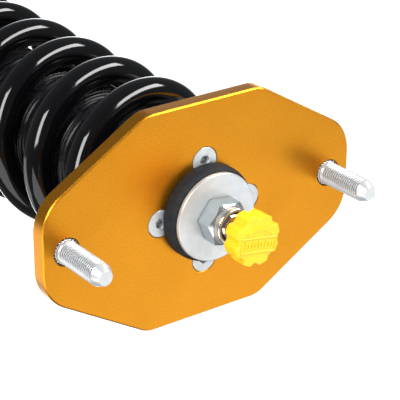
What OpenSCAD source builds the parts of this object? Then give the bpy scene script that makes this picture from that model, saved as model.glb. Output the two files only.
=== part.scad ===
// Coilover for the rear of a car, hanging below its two-stud top plate.
// Z runs along the damper's axis and X through both studs. The origin is the centre of the
// plate's outer face, the one that is bolted up against the car. Lengths are in millimetres.

/* [Top plate] */
// Length of the plate, along the line through both studs
plate_l = 158; // [150:1:200]
// Width of the plate
plate_w = 98; // [94:1:130]
// Thickness of the plate
plate_t = 7.5; // [6:0.5:12]
// Straight long side, between its sharp corners
plate_side_l = 58.4; // [48:0.2:72]
// Straight short end, between its sharp corners
plate_end_w = 38.2; // [32:0.2:46]
// Corner radius beside a long side
plate_side_r = 12; // [4:1:15]
// Corner radius beside a short end
plate_end_r = 19.4; // [8:0.2:22]
// Bore in the middle of the plate
plate_bore_d = 27; // [24:0.5:28]

/* [Mounting studs] */
// Thread diameter of a stud
stud_d = 10; // [8:1:12]
// Distance between the two studs
stud_spacing = 135.4; // [126:0.2:140]
// Height of a stud above the plate
stud_h = 28; // [20:1:40]
// Diameter of the splined part that is pressed into the plate
stud_spline_d = 12; // [12:0.5:14]
// Diameter of a stud's head, under the plate
stud_head_d = 17; // [15:0.5:20]
// Thickness of a stud's head
stud_head_t = 3; // [2:0.5:5]

/* [Spring seat and its screws] */
// Thickness of the seat that centres the spring's top end
seat_t = 10; // [8:0.5:14]
// Thread diameter of a seat screw
screw_d = 6; // [4:1:6]
// Head diameter of a seat screw
screw_head_d = 12; // [10:0.5:13]
// Circle that the seat screws stand on
screw_pcd = 45; // [42:0.5:47]
// Length of a seat screw
screw_l = 16; // [12:1:16]
// Number of seat screws
screw_count = 4; // [3:1:6]

/* [Rubber mount] */
// Outer diameter of the upper bush
upper_bush_d = 42.5; // [38:0.5:48]
// Height of the upper bush above the plate
upper_bush_h = 6.8; // [5:0.2:12]
// Outer diameter of the lower bush
lower_bush_d = 40; // [36:0.5:46]
// Height of the lower bush below the seat
lower_bush_h = 7; // [5:0.5:12]
// Outer diameter of both cup washers
washer_d = 39; // [34:0.5:42]
// Thickness of both cup washers
washer_t = 2.2; // [1.5:0.1:4]
// Outer diameter of the steel sleeve inside the bushes
sleeve_d = 18; // [17:0.5:21]
// Size of the top nut across its flats
nut_af = 18; // [17:0.5:20]
// Height of the top nut's hexagon
nut_hex_h = 8.5; // [6:0.5:12]
// Diameter of the round collar on the top nut
nut_collar_d = 16.8; // [16:0.1:17]
// Height of that collar
nut_collar_h = 3.5; // [3:0.5:5]

/* [Piston rod] */
// Diameter of the piston rod
rod_d = 14; // [14:0.5:18]
// Thread diameter at the rod's top end
rod_thread_d = 12; // [10:0.5:12]
// How far the rod's end lies below the rim of the nut's collar
rod_sink = 0.5; // [0.2:0.1:1]
// Thread diameter at the rod's piston end
piston_thread_d = 10; // [8:0.5:10]
// Bore along the rod for the adjuster pin
rod_bore_d = 4.2; // [3.6:0.2:5]
// Bore at the rod's lower end for the needle
needle_bore_d = 5.4; // [5:0.2:6]
// Travel of the damper from full droop to full bump
stroke = 85; // [50:5:105]

/* [Adjuster] */
// Diameter of the knob over its lobes
knob_d = 22.8; // [18:0.2:26]
// Height of the knob
knob_h = 9; // [8:0.5:20]
// Gap between the nut's rim and the knob
knob_gap = 6.8; // [1:0.5:6]
// Number of lobes round the knob
knob_lobes = 8; // [6:1:12]
// Diameter of the pin that the knob turns
pin_d = 3.6; // [3:0.1:3.8]

/* [Spring] */
// Wire diameter
wire_d = 13; // [10:0.5:14]
// Inside diameter of the spring
spring_id = 62; // [60:0.5:76]
// Length of the spring between its ground ends
spring_l = 215; // [175:1:260]
// Active turns between the closed ends
free_turns = 6.2; // [4:0.1:7]
// Turns that lie closed at each end
closed_turns = 0.75; // [0.5:0.05:1]
// Thickness of the slip ring at each end of the spring
slip_ring_t = 1.5; // [1:0.1:3]

/* [Bump stop and boot] */
// Length of the bump stop
bump_stop_l = 50; // [30:1:70]
// Diameter of the bump stop
bump_stop_d = 38; // [30:1:42]
// Length of the bump stop at full bump, as a share of its own length
bump_stop_keep = 0.7; // [0.5:0.05:0.9]
// Outer diameter of the dust boot
boot_d = 58; // [52:0.5:59]
// Wall of the dust boot
boot_wall = 1.2; // [0.8:0.1:1.6]
// Folds of the dust boot
boot_folds = 10; // [6:1:14]

/* [Damper body] */
// Diameter of the body over its thread
body_d = 52; // [48:0.5:56]
// Inside diameter of the body
body_bore_d = 44; // [40:0.5:46]
// Length of the gland nut inside the body
gland_l = 10; // [8:0.5:16]
// Thickness of the gland nut's flange
gland_flange_t = 4; // [3:0.5:6]
// Length of the rod guide
guide_l = 22; // [18:1:30]
// Thickness of the piston
piston_t = 16; // [12:1:22]
// Thickness of one shim
shim_t = 0.8; // [0.5:0.1:1]
// Number of shims on each side of the piston
shim_count = 4; // [3:1:5]
// Length of the floating piston
floater_l = 16; // [12:1:22]
// Least length of the gas chamber
gas_l = 30; // [25:1:50]
// Thickness of the end cap
end_cap_t = 12; // [10:1:16]

/* [Spring perch] */
// Outer diameter of the perch
perch_d = 86; // [80:0.5:96]
// Outer diameter of the perch's hub and of its lock ring
perch_hub_d = 74; // [66:0.5:78]
// Thickness of the perch's flange
perch_flange_t = 6; // [4:0.5:10]
// Height of the perch's hub below the flange
perch_hub_h = 11; // [8:0.5:20]
// Height of the spigot that centres the spring's lower end
perch_spigot_h = 6; // [4:0.5:8]
// Height of each lock ring
lock_ring_h = 9; // [7:0.5:14]
// How far the perch can be wound down
perch_drop = 25; // [0:1:40]

/* [Lower bracket] */
// Outer diameter of the lower bracket's socket
bracket_d = 62; // [60:0.5:74]
// How far the bracket can be wound up the body
height_up = 15; // [0:1:30]
// Thickness of the socket's floor
bracket_floor_t = 6; // [4:0.5:10]
// Outer diameter of the eye
eye_d = 46; // [44:0.5:60]
// Width of the eye, along its bolt
eye_w = 38; // [30:0.5:50]
// Diameter of the rubber bush in the eye
eye_bush_d = 35; // [32:0.5:38]
// Outer diameter of the sleeve in the eye
eye_sleeve_d = 18; // [17:0.5:22]
// Bore of the sleeve, for the lower bolt
eye_bore_d = 12.2; // [10.2:0.1:14.2]
// Length of the sleeve
eye_sleeve_l = 44; // [40:0.5:56]

/* [Clearances] */
// Radial gap of a running fit or of a thread
running_gap = 0.05; // [0.02:0.01:0.08]
// Gap between pieces that move past each other without touching
free_gap = 0.3; // [0.2:0.05:0.5]
// Radial gap round a spigot that centres the spring
spigot_gap = 0.6; // [0.5:0.05:1]

/* [Hidden] */

$fn = 96;
through = 1;             // how far a cutting shape runs past the face that it cuts
touch_gap = 0.1;         // between flat faces that slide on each other

// Heights of the mount above and below the plate's outer face
washer_top = upper_bush_h + washer_t;
nut_hex_top = washer_top + nut_hex_h;
nut_top = nut_hex_top + nut_collar_h;
rod_top = nut_top - rod_sink;
knob_bottom = nut_top + knob_gap;
knob_top = knob_bottom + knob_h;
seat_bottom = -plate_t - seat_t;
sleeve_bottom = seat_bottom - lower_bush_h;
rod_shoulder = sleeve_bottom - washer_t;

// The bushes' necks meet inside the plate and the seat
neck_d = plate_bore_d - 2 * touch_gap;
neck_split = seat_bottom / 2;

// Spring and slip rings
slip_ring_top = -plate_t - touch_gap;
spring_top = slip_ring_top - slip_ring_t - touch_gap;
spring_bottom = spring_top - spring_l;
coil_r = (spring_id + wire_d) / 2;
spigot_d = spring_id - 2 * spigot_gap;
slip_ring_d = spring_id + 2 * wire_d;
slip_ring_bore_d = spigot_d + 2 * free_gap;
perch_top = spring_bottom - slip_ring_t - touch_gap;

// Damper, from its gland down, at full droop
boot_top_t = 2;
boot_top = rod_shoulder;
boot_neck_d = 46;
bump_stop_top = boot_top - boot_top_t;
rod_free_l = boot_top_t + bump_stop_l * bump_stop_keep + stroke;
gland_top = rod_shoulder - rod_free_l - free_gap;
body_top = gland_top - gland_flange_t;
guide_top = body_top - gland_l;
guide_bottom = guide_top - guide_l;
bumper_h = 8;
shim_stack_t = shim_count * shim_t;
bumper_top = guide_bottom - free_gap;
stud_shoulder = bumper_top - bumper_h;
piston_top = stud_shoulder - shim_stack_t;
piston_bottom = piston_top - piston_t;
piston_nut_top = piston_bottom - shim_stack_t;
piston_nut_h = 8;
rod_bottom = piston_nut_top - piston_nut_h - 3;
oil_reserve = 15;
floater_top = rod_bottom - stroke - oil_reserve;
floater_bottom = floater_top - floater_l;
floater_travel = stroke * pow(rod_d / body_bore_d, 2);
oil_r = body_bore_d / 2 - running_gap;

// Rings on the body, from the perch down
perch_bottom = perch_top - perch_flange_t - perch_hub_h;
perch_lock_top = perch_bottom - touch_gap;
perch_lock_bottom = perch_lock_top - lock_ring_h;
ring_spare = 5;
bracket_lock_top = perch_lock_bottom - perch_drop - height_up - ring_spare;
bracket_top = bracket_lock_top - lock_ring_h - touch_gap;
least_grip = 60;

// The body is as long as its rings outside and its pistons inside need
body_bottom = min(
    bracket_top - least_grip,
    floater_bottom - floater_travel - gas_l - end_cap_t
);
end_cap_top = body_bottom + end_cap_t;
thread_bore_d = body_d + 2 * running_gap;

// Lower bracket
socket_bottom = body_bottom - height_up - free_gap;
bracket_bottom = socket_bottom - bracket_floor_t;
eye_neck_l = 9;
eye_z = bracket_bottom - eye_neck_l - eye_d / 2;

// Shapes that several pieces share

// A tube or ring of outer diameter d and bore bore_d, from z = low to z = high
module ring(d, bore_d, low, high) {
    translate([0, 0, low])
        difference() {
            cylinder(d = d, h = high - low);
            translate([0, 0, -through]) cylinder(d = bore_d, h = high - low + 2 * through);
        }
}

// A plain cylinder from z = low to z = high
module drum(d, low, high) {
    translate([0, 0, low]) cylinder(d = d, h = high - low);
}

// A hexagonal prism of size af across its flats
module hex(af, low, high) {
    translate([0, 0, low]) cylinder(d = af / cos(30), h = high - low, $fn = 6);
}

// A hexagonal prism whose top corners are turned off at 45 degrees, to a face of diameter face_d
module chamfered_hex(af, face_d, low, high) {
    corner_d = af / cos(30);
    chamfer = (corner_d - face_d) / 2;
    intersection() {
        hex(af, low, high);
        union() {
            drum(corner_d, low, high - chamfer);
            translate([0, 0, high - chamfer]) cylinder(d1 = corner_d, d2 = face_d, h = chamfer);
        }
    }
}

// Copies of a child, evenly spaced round the Z axis
module around(count) {
    for (i = [0 : count - 1]) rotate([0, 0, i * 360 / count]) children();
}

function arc(centre, r, from, to, steps = 10) = [
    for (i = [0 : steps])
        let (a = from + (to - from) * i / steps)
        centre + r * [cos(a), sin(a)]
];

// Eight-sided outline with round corners: half sizes hx and hy, and the sharp corners
// of its sloping sides at [cx, hy] and [hx, cy]
module rounded_octagon(hx, hy, cx, cy, side_r, end_r) {
    normal = [hy - cy, hx - cx] / norm([hy - cy, hx - cx]);
    slope = atan2(normal.y, normal.x);
    reach = normal * [cx, hy];
    side_y = hy - side_r;
    side_centre = [(reach - side_r - normal.y * side_y) / normal.x, side_y];
    end_x = hx - end_r;
    end_centre = [end_x, (reach - end_r - normal.x * end_x) / normal.y];
    quarter = concat(arc(side_centre, side_r, 90, slope), arc(end_centre, end_r, slope, 0));
    back = [for (i = [len(quarter) - 1 : -1 : 0]) quarter[i]];
    polygon(concat(
        quarter,
        [for (p = back) [p.x, -p.y]],
        [for (p = quarter) -p],
        [for (p = back) [-p.x, p.y]]
    ));
}

// A threaded ring with notches for a hook spanner
module notched_ring(d, low, high, notches) {
    notch_w = 8;
    notch_depth = 4;
    difference() {
        ring(d, thread_bore_d, low, high);
        around(notches)
            translate([d / 2 - notch_depth, -notch_w / 2, low - through])
                cube([notch_depth + through, notch_w, high - low + 2 * through]);
    }
}

// Top plate and what is fixed to it

stud_clear_d = stud_spline_d + 2 * running_gap;
screw_clear_d = screw_d + 0.6;
screw_head_h = (screw_head_d - screw_clear_d) / 2;
head_gap = 0.25;

module seat_screw_places() {
    around(screw_count) translate([screw_pcd / 2, 0, 0]) children();
}

module top_plate() {
    color("orange")
    difference() {
        translate([0, 0, -plate_t])
            linear_extrude(plate_t)
                rounded_octagon(plate_l / 2, plate_w / 2, plate_side_l / 2, plate_end_w / 2,
                                plate_side_r, plate_end_r);
        drum(plate_bore_d, -plate_t - through, through);
        for (side = [-1, 1])
            translate([side * stud_spacing / 2, 0, 0])
                drum(stud_clear_d, -plate_t - through, through);
        seat_screw_places() {
            drum(screw_clear_d, -plate_t - through, through);
            translate([0, 0, -screw_head_h - head_gap])
                cylinder(d1 = screw_clear_d, d2 = screw_head_d + 2 * head_gap,
                         h = screw_head_h + head_gap);
            drum(screw_head_d + 2 * head_gap, 0, through);
        }
    }
}

module mount_studs() {
    tip_h = 3.6;
    tip_d = stud_d * 0.58;
    color("lightgray")
    for (side = [-1, 1])
        translate([side * stud_spacing / 2, 0, 0]) {
            drum(stud_head_d, -plate_t - stud_head_t, -plate_t);
            drum(stud_spline_d, -plate_t, 0);
            drum(stud_d, 0, stud_h - tip_h);
            translate([0, 0, stud_h - tip_h]) cylinder(d1 = stud_d, d2 = tip_d, h = tip_h);
        }
}

module seat_screws() {
    socket_af = 4;
    socket_depth = 2.5;
    color("silver")
    seat_screw_places()
        difference() {
            union() {
                drum(screw_d, -screw_l, -screw_head_h);
                translate([0, 0, -screw_head_h])
                    cylinder(d1 = screw_d, d2 = screw_head_d, h = screw_head_h);
            }
            hex(socket_af, -socket_depth, through);
        }
}

module upper_spring_seat() {
    relief_d = lower_bush_d + 2;
    relief_depth = 1;
    color("dimgray")
    difference() {
        ring(spigot_d, plate_bore_d, seat_bottom - relief_depth, -plate_t);
        drum(relief_d, seat_bottom - relief_depth - through, seat_bottom);
        seat_screw_places()
            drum(screw_d + 2 * running_gap, -screw_l - through, -plate_t + through);
    }
}

// Rubber mount

module upper_bush() {
    edge_r = 1.6;
    color("darkslategray")
    rotate_extrude()
        difference() {
            union() {
                translate([sleeve_d / 2 + running_gap, neck_split + touch_gap])
                    square([(neck_d - sleeve_d) / 2 - running_gap, -neck_split]);
                translate([sleeve_d / 2 + running_gap, 0])
                    square([(upper_bush_d - sleeve_d) / 2 - running_gap, upper_bush_h - edge_r]);
                translate([sleeve_d / 2 + running_gap, 0])
                    square([(upper_bush_d - sleeve_d) / 2 - running_gap - edge_r, upper_bush_h]);
                translate([upper_bush_d / 2 - edge_r, upper_bush_h - edge_r]) circle(r = edge_r);
            }
        }
}

module lower_bush() {
    color("darkslategray") {
        ring(lower_bush_d, sleeve_d + 2 * running_gap, sleeve_bottom, seat_bottom);
        ring(neck_d, sleeve_d + 2 * running_gap, seat_bottom, neck_split);
    }
}

module bush_sleeve() {
    color("silver")
    ring(sleeve_d, rod_thread_d + 2 * running_gap, sleeve_bottom, upper_bush_h);
}

module upper_washer() {
    edge_r = washer_t / 2;
    bore_r = rod_thread_d / 2 + running_gap;
    color("gainsboro")
    rotate_extrude() {
        translate([bore_r, upper_bush_h])
            square([washer_d / 2 - edge_r - bore_r, washer_t]);
        translate([washer_d / 2 - edge_r, upper_bush_h + edge_r]) circle(r = edge_r);
    }
}

module lower_washer() {
    color("gainsboro")
    ring(washer_d, rod_thread_d + 2 * running_gap, rod_shoulder, sleeve_bottom);
}

// The top nut locks with a nylon ring, which is held in the pocket of its collar
insert_d = rod_thread_d + 2.6;
rim_d = rod_thread_d + 1.6;
rim_t = 0.7;

module top_nut() {
    edge_r = 1.4;
    color("gainsboro")
    difference() {
        union() {
            chamfered_hex(nut_af, nut_af * 0.95, washer_top, nut_hex_top);
            drum(nut_collar_d, nut_hex_top, nut_top - edge_r);
            rotate_extrude() {
                translate([0, nut_top - edge_r]) square([nut_collar_d / 2 - edge_r, edge_r]);
                translate([nut_collar_d / 2 - edge_r, nut_top - edge_r]) circle(r = edge_r);
            }
        }
        drum(rod_thread_d + 2 * running_gap, washer_top - through, nut_top + through);
        drum(insert_d + 2 * running_gap, nut_hex_top, nut_top - rim_t);
        drum(rim_d, nut_hex_top, nut_top + through);
    }
}

module nut_insert() {
    color("whitesmoke")
    ring(insert_d, rod_thread_d + 2 * running_gap, nut_hex_top, nut_top - rim_t - touch_gap);
}

// Rod and adjuster

needle_bore_top = stud_shoulder + 40;
bleed_z = stud_shoulder + bumper_h / 2;
bleed_d = 2;
needle_seat_z = piston_top - 4;

module piston_rod() {
    end_chamfer = 1;
    color("whitesmoke")
    difference() {
        union() {
            drum(rod_thread_d, rod_shoulder, rod_top - end_chamfer);
            translate([0, 0, rod_top - end_chamfer])
                cylinder(d1 = rod_thread_d, d2 = rod_thread_d - 2 * end_chamfer, h = end_chamfer);
            drum(rod_d, stud_shoulder, rod_shoulder);
            drum(piston_thread_d, rod_bottom, stud_shoulder);
        }
        drum(rod_bore_d, needle_seat_z, rod_top + through);
        drum(needle_bore_d, needle_seat_z, needle_bore_top);
        drum(rod_bore_d - 1, rod_bottom - through, needle_seat_z + through);
        translate([0, 0, bleed_z])
            rotate([90, 0, 0])
                cylinder(d = bleed_d, h = rod_d + 2 * through, center = true);
    }
}

pin_cover = 3;           // of the knob, over the pin's end

module adjuster_knob() {
    notch_w = 3;
    notch_depth = 1.5;
    edge = 0.6;
    color("gold")
    difference() {
        union() {
            drum(knob_d, knob_bottom, knob_top - edge);
            translate([0, 0, knob_top - edge])
                cylinder(d1 = knob_d, d2 = knob_d - 2 * edge, h = edge);
        }
        around(knob_lobes)
            translate([knob_d / 2 - notch_depth, -notch_w / 2, knob_bottom - through])
                cube([notch_depth + through, notch_w, knob_h + 2 * through]);
        drum(pin_d + 2 * running_gap, knob_bottom - through, knob_top - pin_cover);
    }
}

pin_bottom = needle_bore_top + 2;
pin_key_af = pin_d * 0.7;
pin_key_l = 26;
needle_socket_gap = 0.1;
needle_travel = 1.5;
needle_entry = 1.7;
needle_top = pin_bottom - free_gap;

module adjuster_pin() {
    color("silver") {
        drum(pin_d, pin_bottom, knob_top - pin_cover);
        hex(pin_key_af, pin_bottom - pin_key_l, pin_bottom);
    }
}

module metering_needle() {
    needle_d = needle_bore_d - 4 * running_gap;
    tip_h = 4;
    low = needle_seat_z - needle_entry + needle_travel;
    high = needle_top - needle_travel - 2;
    color("goldenrod")
    difference() {
        union() {
            drum(needle_d, low + tip_h, high);
            translate([0, 0, low]) cylinder(d1 = 1.6, d2 = needle_d, h = tip_h);
        }
        hex(pin_key_af + 2 * needle_socket_gap,
            pin_bottom - pin_key_l - needle_travel - free_gap, high + through);
    }
}

// Bump stop and boot

module bump_stop() {
    waist = 3;
    bore_r = rod_d / 2 + free_gap;
    low = bump_stop_top - bump_stop_l;
    groove_r = 3;
    grooves = 3;
    color("khaki")
    rotate_extrude()
        difference() {
            polygon([
                [bore_r, bump_stop_top],
                [bump_stop_d / 2, bump_stop_top],
                [bump_stop_d / 2, low + bump_stop_l / 3],
                [bump_stop_d / 2 - waist, low],
                [bore_r, low]
            ]);
            for (i = [1 : grooves])
                translate([bump_stop_d / 2 + 1, bump_stop_top - i * bump_stop_l / (grooves + 1)])
                    circle(r = groove_r);
        }
}

module dust_boot() {
    low = gland_top + free_gap;
    fold_top = bump_stop_top - 2;
    fold = (fold_top - low - 2) / boot_folds;
    crest_r = boot_d / 2;
    root_r = boot_neck_d / 2;
    wall = [boot_wall, 0];
    outside = [
        for (i = [0 : boot_folds - 1]) each [
            [root_r, fold_top - i * fold],
            [crest_r, fold_top - (i + 0.5) * fold]
        ],
        [root_r, fold_top - boot_folds * fold],
        [root_r, low]
    ];
    inside = [for (i = [len(outside) - 1 : -1 : 0]) outside[i] - wall];
    color("dimgray")
    rotate_extrude()
        polygon(concat(
            [[rod_d / 2 + free_gap, boot_top], [root_r, boot_top]],
            outside,
            inside,
            [[root_r - boot_wall, bump_stop_top], [rod_d / 2 + free_gap, bump_stop_top]]
        ));
}

// Spring and what carries it

module slip_ring(low) {
    ring(slip_ring_d, slip_ring_bore_d, low, low + slip_ring_t);
}

module upper_slip_ring() {
    color("dimgray") slip_ring(slip_ring_top - slip_ring_t);
}

module lower_slip_ring() {
    color("dimgray") slip_ring(spring_bottom - slip_ring_t);
}

// Depth of the wire's centre below the spring's top end, t turns from the tip.
// Half of the wire is ground away at each tip.
closed_rise = wire_d / 2 - 0.4;
spring_turns = free_turns + 2 * closed_turns;
free_pitch = (spring_l - 2 * closed_rise) / free_turns;
function end_depth(t) = closed_rise * t / closed_turns;
function wire_depth(t) =
    t < closed_turns ? end_depth(t)
    : t > spring_turns - closed_turns ? spring_l - end_depth(spring_turns - t)
    : closed_rise + free_pitch * (t - closed_turns);

// A point of the wire's skin, t turns down and at angle a round the wire
function wire_point(t, a) =
    let (
        r = coil_r + wire_d / 2 * cos(a),
        z = spring_top - wire_depth(t) + wire_d / 2 * sin(a)
    )
    [r * cos(-360 * t), r * sin(-360 * t), min(spring_top, max(spring_bottom, z))];

module coil_spring() {
    sides = 10;
    rings = round(spring_turns * 28);
    points = [
        for (i = [0 : rings], k = [0 : sides - 1])
            wire_point(i * spring_turns / rings, (k + 0.5) * 360 / sides)
    ];
    walls = [
        for (i = [0 : rings - 1], k = [0 : sides - 1])
            let (a = i * sides + k, b = i * sides + (k + 1) % sides)
            each [[a, b, b + sides], [a, b + sides, a + sides]]
    ];
    first_cap = [for (k = [sides - 1 : -1 : 0]) k];
    last_cap = [for (k = [0 : sides - 1]) rings * sides + k];
    color("black")
    polyhedron(points = points, faces = concat([first_cap, last_cap], walls));
}

module spring_perch() {
    color("orange")
    difference() {
        union() {
            drum(spigot_d, perch_top, perch_top + perch_spigot_h);
            drum(perch_d, perch_top - perch_flange_t, perch_top);
            notched_ring(perch_hub_d, perch_bottom, perch_top - perch_flange_t, 8);
        }
        drum(thread_bore_d, perch_bottom - through, perch_top + perch_spigot_h + through);
    }
}

module perch_lock_ring() {
    color("orange")
    notched_ring(perch_hub_d, perch_lock_bottom, perch_lock_top, 8);
}

// Damper body and what is inside

module body_tube() {
    color("dimgray")
    ring(body_d, body_bore_d, body_bottom, body_top);
}

wiper_d = 24;
wiper_l = 5;
seal_d = 26;
seal_l = 6;
lip_bore_d = rod_d + 2 * running_gap;

module gland_nut() {
    spanner_hole_d = 4;
    color("orange")
    difference() {
        union() {
            drum(body_d - 2, body_top, gland_top);
            drum(2 * oil_r, guide_top, body_top);
        }
        drum(rod_d + 2, guide_top - through, gland_top + through);
        drum(wiper_d, gland_top - wiper_l, gland_top + through);
        around(4)
            translate([body_bore_d / 2 - 3, 0, 0])
                drum(spanner_hole_d, gland_top - 3, gland_top + through);
    }
}

module rod_wiper() {
    color("black")
    ring(wiper_d - 2 * running_gap, lip_bore_d, gland_top - wiper_l, gland_top - 1);
}

module rod_seal() {
    color("black")
    ring(seal_d - 2 * running_gap, lip_bore_d, guide_top - seal_l, guide_top);
}

o_ring_d = 3;
o_ring_r = oil_r - o_ring_d / 2;

module o_ring(z) {
    translate([0, 0, z])
        rotate_extrude() translate([o_ring_r, 0]) circle(d = o_ring_d, $fn = 32);
}

module o_ring_groove(z) {
    ring(2 * oil_r + 2 * through, 2 * (o_ring_r - o_ring_d / 2) - 2 * running_gap,
         z - o_ring_d / 2 - touch_gap, z + o_ring_d / 2 + touch_gap);
}

guide_seal_z = guide_bottom + guide_l / 2 - 2;
floater_seal_z = floater_bottom + floater_l / 2;

module rod_guide() {
    color("silver")
    difference() {
        ring(2 * oil_r, rod_d + 2 * running_gap, guide_bottom, guide_top);
        drum(seal_d, guide_top - seal_l, guide_top + through);
        o_ring_groove(guide_seal_z);
    }
}

module guide_seal() {
    color("black") o_ring(guide_seal_z);
}

module top_out_bumper() {
    color("ivory")
    ring(rod_d + 16, rod_d + 2 * running_gap, stud_shoulder, bumper_top);
}

// Discs that get smaller away from the piston, from the piston's face at z = face
module shim_stack(face, away) {
    biggest_d = body_bore_d - 12;
    step_d = 4;
    for (i = [0 : shim_count - 1]) {
        near = face + away * i * shim_t;
        far = face + away * (i + 1) * shim_t;
        ring(biggest_d - step_d * i, piston_thread_d + 2 * running_gap, min(near, far), max(near, far));
    }
}

module compression_shims() {
    color("steelblue") shim_stack(piston_top, 1);
}

module rebound_shims() {
    color("steelblue") shim_stack(piston_bottom, -1);
}

band_h = 8;
band_t = 1.2;
band_low = piston_bottom + (piston_t - band_h) / 2;

module damper_piston() {
    port_d = 5;
    ports = 6;
    port_r = body_bore_d / 2 - 9;
    color("darkgray")
    difference() {
        ring(2 * oil_r - 0.4, piston_thread_d + 2 * running_gap, piston_bottom, piston_top);
        ring(2 * oil_r + through, 2 * (oil_r - band_t) - 2 * running_gap,
             band_low - running_gap, band_low + band_h + running_gap);
        around(ports)
            translate([port_r, 0, 0]) drum(port_d, piston_bottom - through, piston_top + through);
    }
}

module piston_band() {
    color("sienna")
    ring(2 * oil_r, 2 * (oil_r - band_t), band_low, band_low + band_h);
}

module piston_nut() {
    color("silver")
    difference() {
        hex(17, piston_nut_top - piston_nut_h, piston_nut_top);
        drum(piston_thread_d + 2 * running_gap,
             piston_nut_top - piston_nut_h - through, piston_nut_top + through);
    }
}

module floating_piston() {
    dish_d = body_bore_d - 14;
    dish_depth = floater_l / 2;
    color("silver")
    difference() {
        drum(2 * oil_r, floater_bottom, floater_top);
        drum(dish_d, floater_bottom - through, floater_bottom + dish_depth);
        o_ring_groove(floater_seal_z);
    }
}

module floating_piston_seal() {
    color("black") o_ring(floater_seal_z);
}

valve_d = 10;
valve_l = 8;

module end_cap() {
    color("dimgray")
    difference() {
        drum(2 * oil_r, body_bottom, end_cap_top);
        drum(valve_d, body_bottom - through, body_bottom + valve_l);
        drum(2, body_bottom, end_cap_top + through);
    }
}

module gas_valve() {
    color("gold")
    ring(valve_d - 2 * running_gap, 2, body_bottom + 1, body_bottom + valve_l);
}

// Lower bracket

module lower_bracket() {
    drain_d = 8;
    color("dimgray")
    difference() {
        drum(bracket_d, bracket_bottom, bracket_top);
        drum(thread_bore_d, socket_bottom, bracket_top + through);
        for (side = [-1, 1])
            translate([0, side * bracket_d / 2, socket_bottom + drain_d])
                rotate([90, 0, 0]) cylinder(d = drain_d, h = bracket_d / 2, center = true);
    }
}

// The eye is welded under the socket, on a neck as long as the eye is wide
module bracket_eye() {
    neck_w = eye_d * 0.7;
    color("dimgray")
    translate([0, 0, eye_z])
        difference() {
            union() {
                translate([-eye_w / 2, -neck_w / 2, 0])
                    cube([eye_w, neck_w, bracket_bottom - eye_z]);
                rotate([0, 90, 0]) cylinder(d = eye_d, h = eye_w, center = true);
            }
            rotate([0, 90, 0])
                cylinder(d = eye_bush_d, h = eye_w + 2 * through, center = true);
        }
}

module bracket_lock_ring() {
    color("orange")
    notched_ring(perch_hub_d, bracket_lock_top - lock_ring_h, bracket_lock_top, 8);
}

module eye_ring(d, bore_d, length) {
    translate([0, 0, eye_z])
        rotate([0, 90, 0]) ring(d, bore_d, -length / 2, length / 2);
}

module eye_bush() {
    color("darkslategray")
    eye_ring(eye_bush_d - 2 * running_gap, eye_sleeve_d + 2 * running_gap, eye_w);
}

module eye_sleeve() {
    color("silver")
    eye_ring(eye_sleeve_d, eye_bore_d, eye_sleeve_l);
}

top_plate();
mount_studs();
seat_screws();
upper_spring_seat();
upper_bush();
lower_bush();
bush_sleeve();
upper_washer();
lower_washer();
top_nut();
nut_insert();
piston_rod();
adjuster_knob();
adjuster_pin();
metering_needle();
bump_stop();
dust_boot();
upper_slip_ring();
coil_spring();
lower_slip_ring();
spring_perch();
perch_lock_ring();
body_tube();
gland_nut();
rod_wiper();
rod_seal();
rod_guide();
guide_seal();
top_out_bumper();
compression_shims();
damper_piston();
piston_band();
rebound_shims();
piston_nut();
floating_piston();
floating_piston_seal();
end_cap();
gas_valve();
lower_bracket();
bracket_eye();
bracket_lock_ring();
eye_bush();
eye_sleeve();
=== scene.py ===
import math

import bpy
import bmesh
import numpy as np
from mathutils import Matrix, Vector


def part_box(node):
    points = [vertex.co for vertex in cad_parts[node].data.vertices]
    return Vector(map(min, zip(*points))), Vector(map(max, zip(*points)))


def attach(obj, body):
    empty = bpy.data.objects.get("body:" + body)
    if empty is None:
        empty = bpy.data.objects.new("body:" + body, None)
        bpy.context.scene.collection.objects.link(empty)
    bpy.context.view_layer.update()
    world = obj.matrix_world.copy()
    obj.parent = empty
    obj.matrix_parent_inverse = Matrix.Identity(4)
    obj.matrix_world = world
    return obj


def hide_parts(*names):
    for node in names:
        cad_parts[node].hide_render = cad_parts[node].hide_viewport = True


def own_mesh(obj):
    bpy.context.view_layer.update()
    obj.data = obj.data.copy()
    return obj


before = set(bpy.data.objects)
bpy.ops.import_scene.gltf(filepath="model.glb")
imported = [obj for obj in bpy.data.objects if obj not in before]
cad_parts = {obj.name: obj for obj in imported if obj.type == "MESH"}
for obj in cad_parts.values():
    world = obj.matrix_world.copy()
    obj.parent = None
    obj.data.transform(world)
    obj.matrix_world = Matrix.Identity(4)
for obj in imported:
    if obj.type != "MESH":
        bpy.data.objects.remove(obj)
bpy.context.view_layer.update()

TAU = 2 * math.pi
MM = 0.001


# ---- places from the CAD model, in mm

def ends(node):
    """Lowest and highest z of a CAD node."""
    low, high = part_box(node)
    return low.z / MM, high.z / MM


def half_width(node, axis=0):
    """Half of a CAD node's size across, about the Z axis."""
    low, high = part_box(node)
    return max(abs(low[axis]), abs(high[axis])) / MM


# ---- mesh helpers

def link_new(name, data):
    """A new object in the scene."""
    obj = bpy.data.objects.new(name, data)
    bpy.context.scene.collection.objects.link(obj)
    return obj


def mesh_object(name, points, faces, sharp=30):
    """A smooth-shaded object from points in mm. Edges sharper than sharp degrees stay crisp."""
    mesh = bpy.data.meshes.new(name)
    mesh.from_pydata([tuple(p) for p in (np.asarray(points, float) * MM)], [], faces)
    mesh.update()
    obj = link_new(name, mesh)
    clean(obj, sharp)
    return obj


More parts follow.
